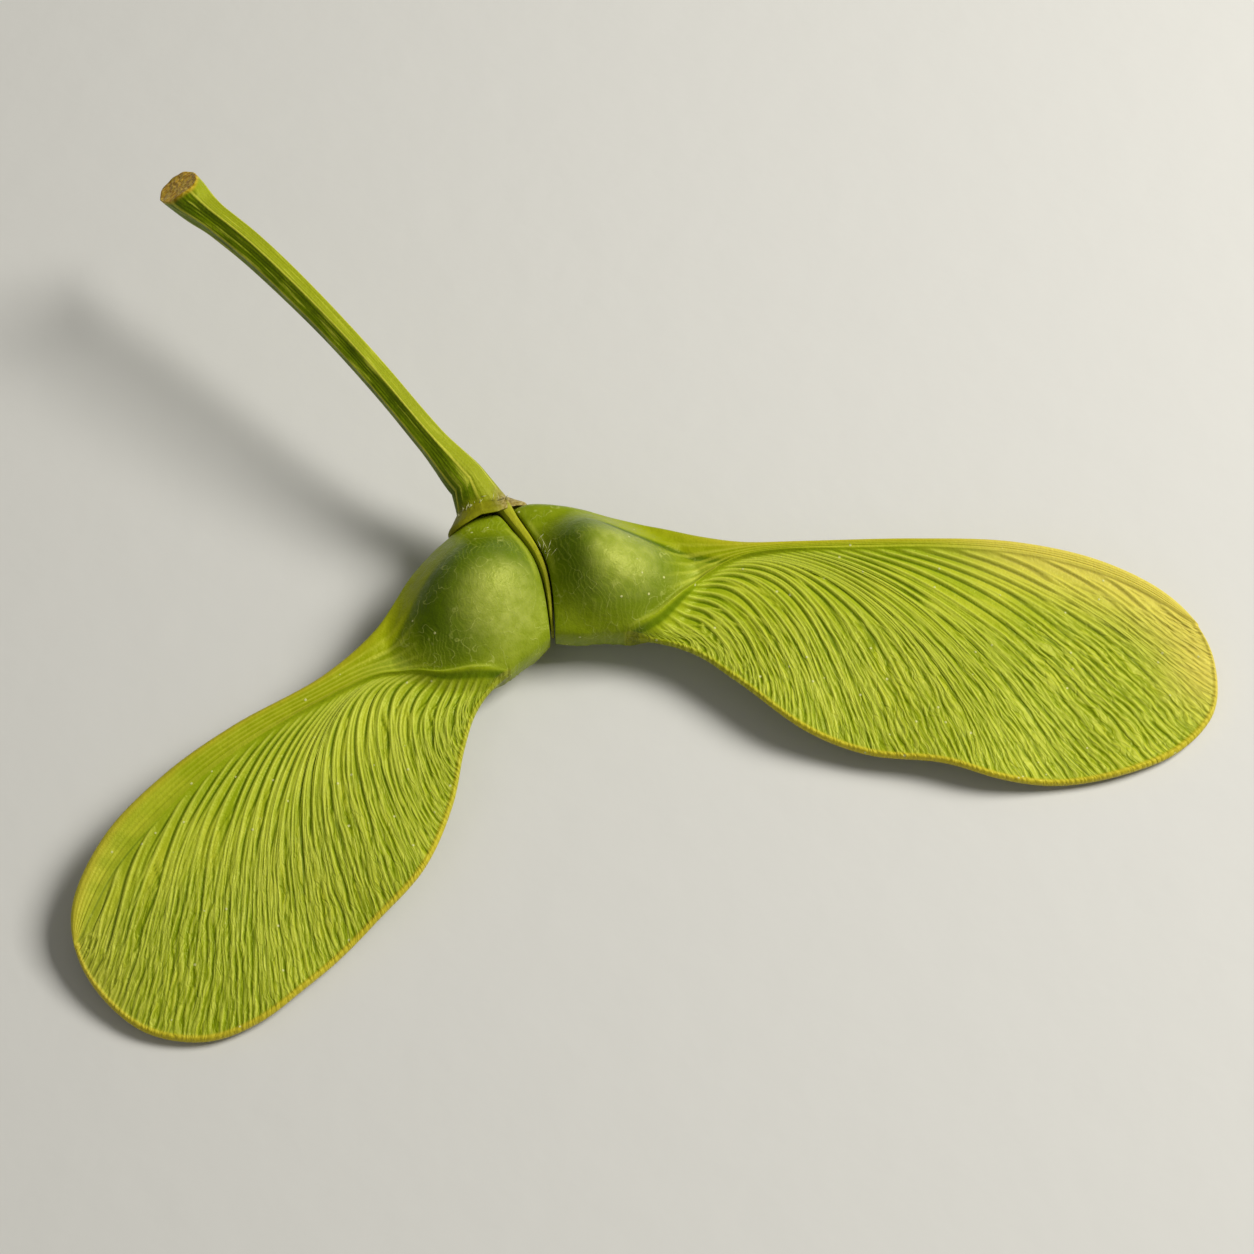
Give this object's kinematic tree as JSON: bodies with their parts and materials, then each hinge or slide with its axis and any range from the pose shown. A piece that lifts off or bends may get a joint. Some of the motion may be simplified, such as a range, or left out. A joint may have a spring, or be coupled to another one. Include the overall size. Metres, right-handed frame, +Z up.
{
  "type": "maple samara",
  "caption": "Green maple fruit: winged nutlets joined at a ribbed stalk with a flared receptacle, their thin wings raised into curving veins, lying flat on a surface.",
  "frame": {"origin": "centre of the footprint on the surface that the fruit lies on", "axes": "+X across the span from the left wing's tip to the right wing's tip, +Y from the wings towards the stalk, +Z up from the surface"},
  "size_m": [0.0644, 0.0512, 0.0107],
  "materials": {
    "samara": "fresh green plant tissue, softly glossy, thin and see-through to light between raised yellow-green veins",
    "stalk": "fresh green plant tissue, ribbed lengthwise, with a tan cut end and a brownish scar at the receptacle"
  },
  "bodies": {
    "root": {"samara_left": "samara", "samara_right": "samara", "stalk": "stalk"}
  },
  "joints": []
}
